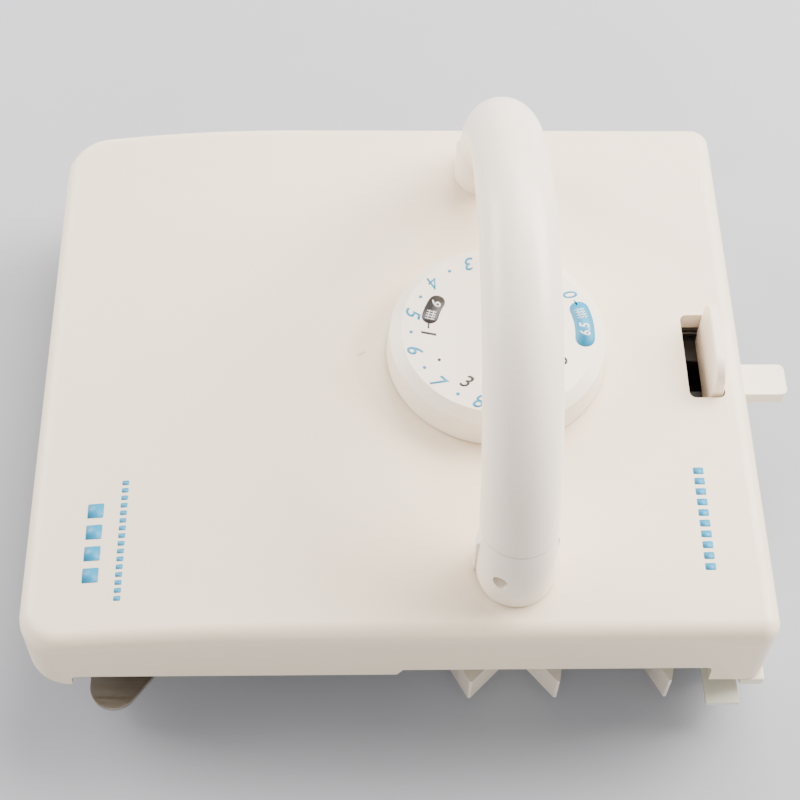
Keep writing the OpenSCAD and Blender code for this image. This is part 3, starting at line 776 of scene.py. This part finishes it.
def grid_mark(height, low, high):
    """A little needle-bed grid: two rails and four cross bars."""
    w = height * 0.62
    t = height * 0.10
    rails = [block(-w, w, y - t / 2, y + t / 2, low, high)
             for y in (-height * 0.22, height * 0.22)]
    bars = [block(x - t / 2, x + t / 2, -height / 2, height / 2, low, high)
            for x in [w * (i - 1.5) / 1.9 for i in range(4)]]
    return merged(*rails, *bars)


def build_dial_prints():
    """Blue scale of 0 to 9, black scale inside it, and the white marks on their two badges."""
    low, high = -0.12, INK_Z
    blue_r = 25.6
    black_r = 20.5
    step = 29.62  # degrees from one number to the next
    blue = [arc_badge(-6.8, 17.0, blue_r, 5.8, low, high)]
    for i, label in enumerate("0123456789"):
        angle = 30.4 if i == 0 else 47.9 + step * (i - 1)
        size = 4.2 if i == 0 else 4.6
        # The corners of a 4 are too sharp for its outline to be widened.
        bold = 0.0 if label == "4" else 0.14
        digit = glyph(label, size, low, high, bold=bold)
        blue.append(moved(digit, dial_place(angle, blue_r)))
    for i in range(9):
        blue.append(moved(dot(0.55, low, high), dial_place(62.7 + step * i, blue_r)))
    dash = block(-0.9, 0.9, -0.25, 0.25, low, high)
    blue.append(moved(dash, dial_place(23.1, blue_r)))
    dress(solid("dial_print_blue", merged(*blue)), BLUE_INK, "dial_unit")
    black = [arc_badge(150.0, 166.2, black_r, 4.9, low, high)]
    black.append(moved(dash, dial_place(175.5, black_r)))
    for label, angle in (("1", 183), ("3", 241), ("5", 300), ("6", 330)):
        black.append(moved(glyph(label, 4.4, low, high), dial_place(angle, black_r)))
    for angle in (210.6, 270):
        black.append(moved(dot(0.5, low, high), dial_place(angle, black_r)))
    dress(solid("dial_print_black", merged(*black)), BLACK_INK, "dial_unit")
    foot, top = high - SHY, high + INK_Z
    white = [
        moved(glyph("6.5", 3.1, foot, top, 0.2, 0.9), dial_place(1.0, blue_r)),
        moved(grid_mark(3.0, foot, top), dial_place(13.8, blue_r)),
        moved(glyph("9", 3.1, foot, top, 0.2), dial_place(151.8, black_r)),
        moved(grid_mark(2.8, foot, top), dial_place(164.2, black_r)),
    ]
    dress(solid("dial_print_white", merged(*white)), WHITE_INK, "dial_unit")


# ---------- trip lever ----------

KNOB_HALF = 14.0
KNOB_R = 6.5
KNOB_T = 4.2


def knob_outline(inset, z0):
    """Finger plate seen along X: round shoulders, straight foot. Points are (y, z)."""
    half = KNOB_HALF - inset
    top = LEVER_HI.z - inset
    r = KNOB_R - inset * 0.5
    shoulder = arc(half - r, top - r, r, 0, 90, 14) + arc(-half + r, top - r, r, 90, 180, 14)
    return shoulder + [(-half, z0), (half, z0)]


def build_trip_lever():
    """Finger plate that thins towards its top, the deck under the slot, and the tab at the rear."""
    x1 = SLOT_X[1] - 0.1
    x0 = x1 - KNOB_T
    deck_z0, deck_z1, deck_x1, deck_y = 35.0, 39.3, 101.0, 12.9
    tab_x0, tab_x1, tab_r = deck_x1 - 5, LEVER_HI.x, 2
    slim = 1.3
    foot_z = deck_z1 - 0.4
    rise = LEVER_HI.z - foot_z
    sections = [(x0, 0.55), (x0 + 0.35, 0.12), (x0 + 0.75, 0.0),
                (x1 - 0.75, 0.0), (x1 - 0.35, 0.12), (x1, 0.55)]
    rings = []
    for x, inset in sections:
        back = (x - x0) / (x1 - x0)
        ring = knob_outline(inset, foot_z)
        rings.append([(x - back * slim * (z - foot_z) / rise, y, z) for y, z in ring])
    obj = solid("trip_knob", loft(rings))
    deck = block(x0, deck_x1, -deck_y, deck_y, deck_z0, deck_z1)
    neck_half = TAB_HALF - SHY
    neck = block(tab_x0, deck_x1 - SHY, -neck_half, neck_half, LEVER_LO.z + 1, deck_z0 + 1)
    tab_outline = (
        [(tab_x0, -TAB_HALF)] + arc(tab_x1 - tab_r, -TAB_HALF + tab_r, tab_r, 270, 360, 6)
        + arc(tab_x1 - tab_r, TAB_HALF - tab_r, tab_r, 0, 90, 6) + [(tab_x0, TAB_HALF)])
    tab = prism(tab_outline, LEVER_LO.z, TAB_TOP)
    for part in (deck, neck, tab):
        combine(obj, part, "UNION")
    soften(obj, 0.35, 3, 38)
    return dress(obj, PALE, "trip_lever", ["trip_lever"])


# ---------- screws ----------

HEAD_DOWN_SCREWS = ("cover_screws", "presser_screws", "handle_post_screws")
SCREW_NODES = ("cover_screws", "cam_screws", "shoe_screws", "presser_screws", "handle_post_screws")


def pan_head(head_r, head_h, shank_r, length):
    """A cross-head screw, head up, seated at z 0. Returns its shape."""
    dome = [(0, head_h), (head_r * 0.45, head_h * 0.97), (head_r * 0.78, head_h * 0.82),
            (head_r * 0.95, head_h * 0.52), (head_r, head_h * 0.2), (head_r * 0.99, 0)]
    shank = [(shank_r, 0), (shank_r, -length + 0.6), (shank_r * 0.6, -length), (0, -length)]
    obj = solid("screw", lathe(dome + shank, 0, 0, 32))
    for turn in (0, 90):
        arm = block(-1.6, 1.6, -0.34, 0.34, head_h * 0.35, head_h + 1)
        combine(obj, moved(arm, Matrix.Rotation(math.radians(turn), 4, "Z")), "DIFFERENCE")
    return shape_of(obj)


def build_screws():
    """Each group of screws stands where its CAD node has them, found from the loose shells."""
    head_r, shank_r = 3.0, 1.5
    for node in SCREW_NODES:
        head_down = node in HEAD_DOWN_SCREWS
        head_h = 2.2 if head_down else 1.8
        boxes = loose_boxes(node)
        first_lo, first_hi = boxes[0]
        screw = pan_head(head_r, head_h, shank_r, first_hi.z - first_lo.z - head_h)
        places = []
        for lo, hi in boxes:
            middle = (lo + hi) / 2
            if head_down:
                place = Matrix.Translation((middle.x, middle.y, lo.z + head_h))
                place = place @ Matrix.Rotation(math.pi, 4, "X")
            else:
                place = Matrix.Translation((middle.x, middle.y, hi.z - head_h))
            turn = Matrix.Rotation(math.radians(37 * len(places)), 4, "Z")
            places.append(moved(screw, place @ turn))
        obj = solid(node + "_cross_head", merged(*places))
        soften(obj, 0.1, 2, 45)
        dress(obj, SCREW, "carriage", [node])


def loose_boxes(node):
    """(low, high) in mm of each separate solid in a CAD node."""
    work = bmesh.new()
    work.from_mesh(frame["nodes"][node].data)
    bmesh.ops.remove_doubles(work, verts=work.verts, dist=1e-6)
    boxes = []
    seen = set()
    for start in work.verts:
        if start in seen:
            continue
        stack, group = [start], []
        seen.add(start)
        while stack:
            v = stack.pop()
            group.append(v.co.copy())
            for e in v.link_edges:
                other = e.other_vert(v)
                if other not in seen:
                    seen.add(other)
                    stack.append(other)
        lo = Vector([min(c[i] for c in group) for i in range(3)]) / MM
        hi = Vector([max(c[i] for c in group) for i in range(3)]) / MM
        boxes.append((lo, hi))
    work.free()
    return sorted(boxes, key=lambda b: (round(b[0].x, 3), round(b[0].y, 3)))


# ---------- brush wheels ----------

def bristle(direction, r0, r1, x, y, z, sag, width):
    """One tapered three-sided fibre that points away from the hub."""
    c, s = math.cos(direction), math.sin(direction)
    rings = []
    for t, w in ((0.0, 1.0), (0.55, 0.8), (1.0, 0.25)):
        r = r0 + (r1 - r0) * t
        cz = z - sag * t * t
        ring = []
        for k in range(3):
            b = 2 * math.pi * k / 3
            side = math.cos(b) * width * w
            up = math.sin(b) * width * w
            ring.append((x + r * c - s * side, y + r * s + c * side, cz + up))
        rings.append(ring)
    return loft(rings)


def build_brushes():
    """Loose fibres round each hub, in tufts, inside the CAD brush's own box."""
    tufts = 26
    fibres = 11
    for side in ("left", "right"):
        lo, hi = box_mm("brush_" + side)
        hub_lo, hub_hi = box_mm("brush_hub_" + side)
        x, y = (lo.x + hi.x) / 2, (lo.y + hi.y) / 2
        middle = (lo.z + hi.z) / 2
        hub_r = (hub_hi.x - hub_lo.x) / 2
        rng = random.Random(7 if side == "left" else 11)
        parts = []
        for i in range(tufts):
            for k in range(fibres):
                a = 2 * math.pi * (i + rng.uniform(-0.26, 0.26)) / tufts
                z = middle + rng.uniform(-0.75, 0.75)
                r1 = (hi.x - lo.x) / 2 - rng.uniform(0.05, 0.9)
                sag = rng.uniform(-0.35, 0.35)
                parts.append(bristle(a, hub_r - 0.6, r1, x, y, z, sag, 0.16))
        obj = solid("brush_tufts_" + side, merged(*parts))
        dress(obj, BRISTLE, "brush_wheel_" + side, ["brush_" + side])


# ---------- CAD nodes that stay in view ----------

EDGE_WIDTH = {
    "base_plate": 0.25, "guide_cam_front": 0.4, "guide_cam_middle": 0.4, "guide_cam_rear": 0.4,
    "rear_shoe_left": 0.5, "rear_shoe_right": 0.5, "rear_hook_left": 0.6, "rear_hook_right": 0.6,
    "front_shoe_left": 0.8, "front_shoe_right": 0.8, "presser_plate": 0.3,
    "handle_post_left": 0.5, "handle_post_right": 0.5,
}


def finish_cad_nodes():
    """Joins the split corners of each node left in view, rounds its edges, sets its material."""
    slots = {p["node"]: p["material_slot"] for p in frame["record"]["subparts"]}
    for name, obj in frame["nodes"].items():
        if obj.hide_render:
            continue
        weld = obj.modifiers.new("weld", "WELD")
        weld.merge_threshold = 1e-6
        obj.data.shade_smooth()
        soften(obj, EDGE_WIDTH.get(name, 0.15), 3, 35)
        obj.data.materials.clear()
        obj.data.materials.append(SLOT_MATERIAL[slots[name]])


# ---------- floor, light and camera ----------

def plain(name, colour, roughness):
    """Matt paper with a faint unevenness."""
    m = Nodes(name)
    m.set(Base_Color=m.mix(m.spread(m.noise(14, 3), 0, 0.2), colour, rgb(160, 162, 168)))
    m.set(Roughness=roughness)
    return m.material


def build_floor():
    half = 2600
    thick, drop = 12, 0.05
    floor = solid("floor", block(-half, half, -half, half, -thick, -drop))
    floor.data.materials.append(plain("floor_paper", rgb(170, 173, 181), 0.85))


def area_light(name, place, target, width, height, power, colour):
    data = bpy.data.lights.new(name, "AREA")
    data.shape = "RECTANGLE"
    data.size = width
    data.size_y = height
    data.energy = power
    data.color = colour
    obj = bpy.data.objects.new(name, data)
    bpy.context.scene.collection.objects.link(obj)
    obj.location = place
    aim = Vector(target) - Vector(place)
    obj.rotation_euler = aim.to_track_quat("-Z", "Y").to_euler()


def build_light():
    middle = (0.0, 0.0, 0.03)
    area_light("key", (0.95, 0.45, 0.75), middle, 0.8, 0.7, 46, (1.0, 0.955, 0.905))
    area_light("sheen", (0.35, 0.85, 1.05), middle, 0.8, 0.8, 25, (1.0, 0.96, 0.92))
    area_light("left_fill", (-0.9, 0.45, 0.42), middle, 0.7, 0.5, 19, (1.0, 0.96, 0.92))
    area_light("near_fill", (-0.1, -1.15, 0.65), middle, 0.9, 0.6, 6.5, (1.0, 0.965, 0.93))
    world = bpy.data.worlds.new("studio")
    world.use_nodes = True
    background = world.node_tree.nodes["Background"]
    background.inputs["Color"].default_value = (1.0, 0.965, 0.93, 1.0)
    background.inputs["Strength"].default_value = 0.6
    bpy.context.scene.world = world


def build_camera():
    """The camera that was fitted to the photo, in metres."""
    place = (-0.0138, -0.2885, 0.4685)
    forward = Vector((0.0304, 0.5423, -0.8396)).normalized()
    yaw = math.radians(3.21)
    roll = math.radians(2.55)
    level = Vector((math.cos(yaw), -math.sin(yaw), 0))
    up = level.cross(forward)
    right = math.cos(roll) * level + math.sin(roll) * up
    upright = -math.sin(roll) * level + math.cos(roll) * up
    data = bpy.data.cameras.new("camera")
    data.lens = 77.1
    data.sensor_width = 36
    obj = bpy.data.objects.new("camera", data)
    bpy.context.scene.collection.objects.link(obj)
    turn = Matrix((right, upright, -forward)).transposed().to_4x4()
    obj.matrix_world = Matrix.Translation(place) @ turn
    bpy.context.scene.camera = obj


build_cover()
build_cover_marks()
build_grip()
build_caps()
build_dial()
build_dial_prints()
build_trip_lever()
build_screws()
build_brushes()
finish_cad_nodes()
build_floor()
build_light()
build_camera()

bpy.context.view_layer.update()
